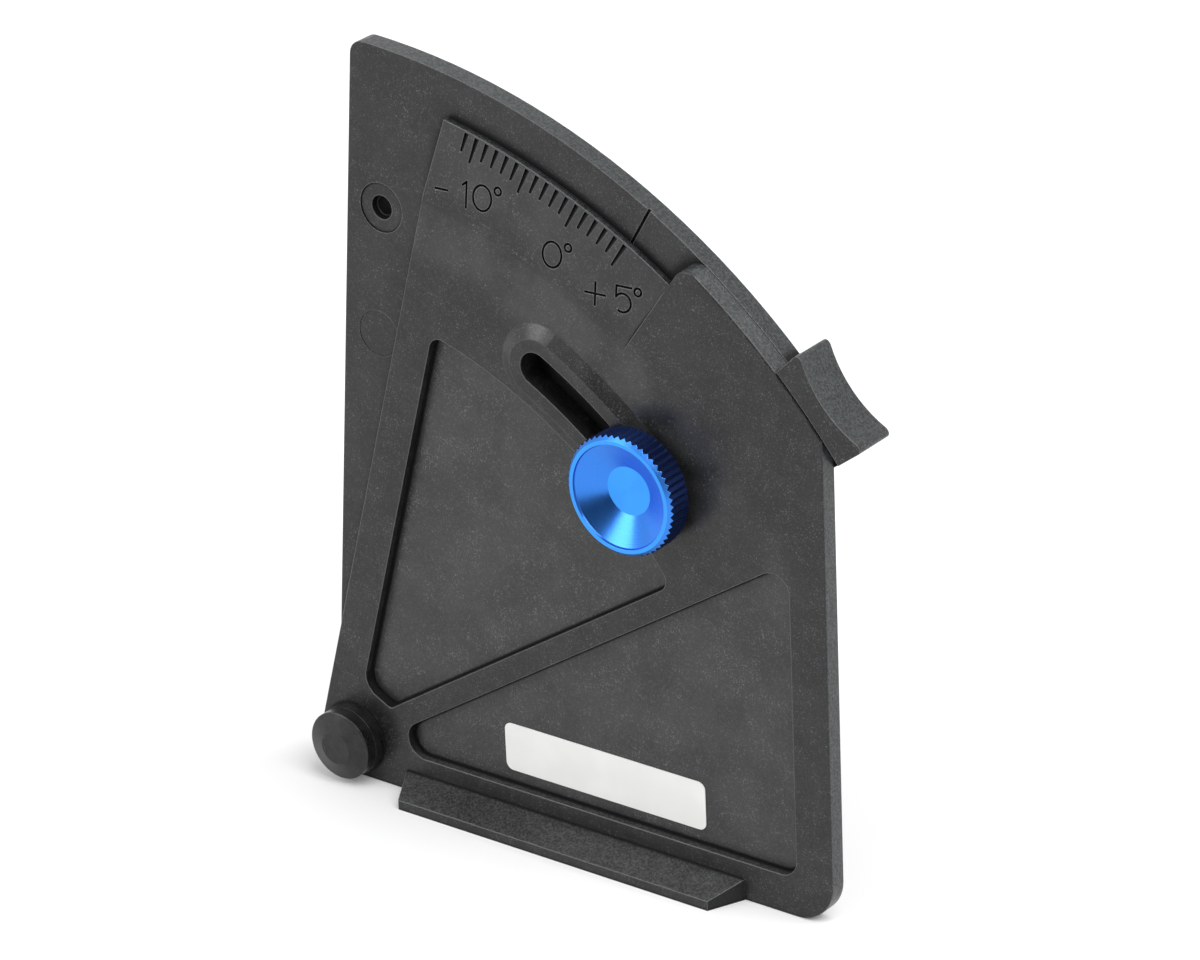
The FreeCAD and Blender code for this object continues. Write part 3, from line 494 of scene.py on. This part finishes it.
def lit_paper():
    """Floor paper: plain where light falls on it, with a glow added where the camera or a gloss sees it."""
    s = Shader("floor_paper")
    path = s.add("LightPath").outputs
    seen = s.math("MAXIMUM", path["Is Camera Ray"], path["Is Transmission Ray"])
    level = s.math("ADD", s.product(seen, FLOOR_GLOW), s.product(path["Is Glossy Ray"], FLOOR_GLOSS))
    both = s.add("AddShader")
    s.put(both.inputs[0], s.add("BsdfDiffuse", Color=FLOOR_COLOUR).outputs["BSDF"])
    s.put(both.inputs[1], s.add("Emission", Strength=level).outputs["Emission"])
    return s.finish(both.outputs[0])


def floor():
    half = FLOOR_SIZE / 2
    panel("floor", [(x * half, y * half, 0) for x, y in CORNERS], lit_paper())


def dark_card():
    """A card before the object that the camera doesn't see: it lights nothing, it only darkens gloss."""
    s = Shader("dark_card")
    tone = s.finish(s.add("Emission", Color=(CARD_TONE, CARD_TONE, CARD_TONE)).outputs["Emission"])
    wide, high = CARD_WIDE / 2, CARD_HIGH / 2
    card = panel("dark_card", [(x * wide, 0, z * high) for x, z in CORNERS], tone)
    card.location = CARD_AT
    card.visible_camera = False
    card.visible_diffuse = False
    card.visible_transmission = False
    card.visible_volume_scatter = False
    card.visible_shadow = False


def sky():
    """White where it is seen, and a lower even light where it only lights things."""
    world = bpy.data.worlds.new("studio")
    bpy.context.scene.world = world
    world.use_nodes = True
    tree = world.node_tree
    tree.nodes.clear()
    path = tree.nodes.new("ShaderNodeLightPath").outputs
    seen = path["Is Camera Ray"]
    for kind in ("Is Glossy Ray", "Is Transmission Ray"):
        either = tree.nodes.new("ShaderNodeMath")
        either.operation = "MAXIMUM"
        tree.links.new(seen, either.inputs[0])
        tree.links.new(path[kind], either.inputs[1])
        seen = either.outputs[0]
    level = tree.nodes.new("ShaderNodeMapRange")
    tree.links.new(seen, level.inputs["Value"])
    level.inputs["To Min"].default_value = SKY_LEVEL
    level.inputs["To Max"].default_value = 1.0
    background = tree.nodes.new("ShaderNodeBackground")
    background.inputs["Color"].default_value = (1.0, 1.0, 1.0, 1.0)
    tree.links.new(level.outputs["Result"], background.inputs["Strength"])
    output = tree.nodes.new("ShaderNodeOutputWorld")
    tree.links.new(background.outputs[0], output.inputs["Surface"])


def distant_light(name, towards, energy, angle):
    lamp = bpy.data.lights.new(name, "SUN")
    lamp.energy = energy
    lamp.angle = math.radians(angle)
    light = bpy.data.objects.new(name, lamp)
    light.rotation_mode = "QUATERNION"
    light.rotation_quaternion = Vector(towards).to_track_quat("Z", "Y")
    bpy.context.scene.collection.objects.link(light)


def camera():
    data = bpy.data.cameras.new("camera")
    data.lens = CAMERA_LENS
    data.sensor_width = SENSOR_WIDTH
    data.clip_start = CLIP_FROM
    data.clip_end = CLIP_TO
    eye = bpy.data.objects.new("camera", data)
    eye.location = CAMERA_AT
    eye.rotation_mode = "QUATERNION"
    aim = (CAMERA_TARGET - CAMERA_AT).to_track_quat("-Z", "Y")
    eye.rotation_quaternion = aim @ Quaternion((0, 0, 1), CAMERA_ROLL)
    bpy.context.scene.collection.objects.link(eye)
    bpy.context.scene.camera = eye


dress()
floor()
sky()
distant_light("top_light", **TOP_LIGHT)
distant_light("side_light", **SIDE_LIGHT)
dark_card()
camera()
bpy.context.scene.view_settings.view_transform = "Standard"
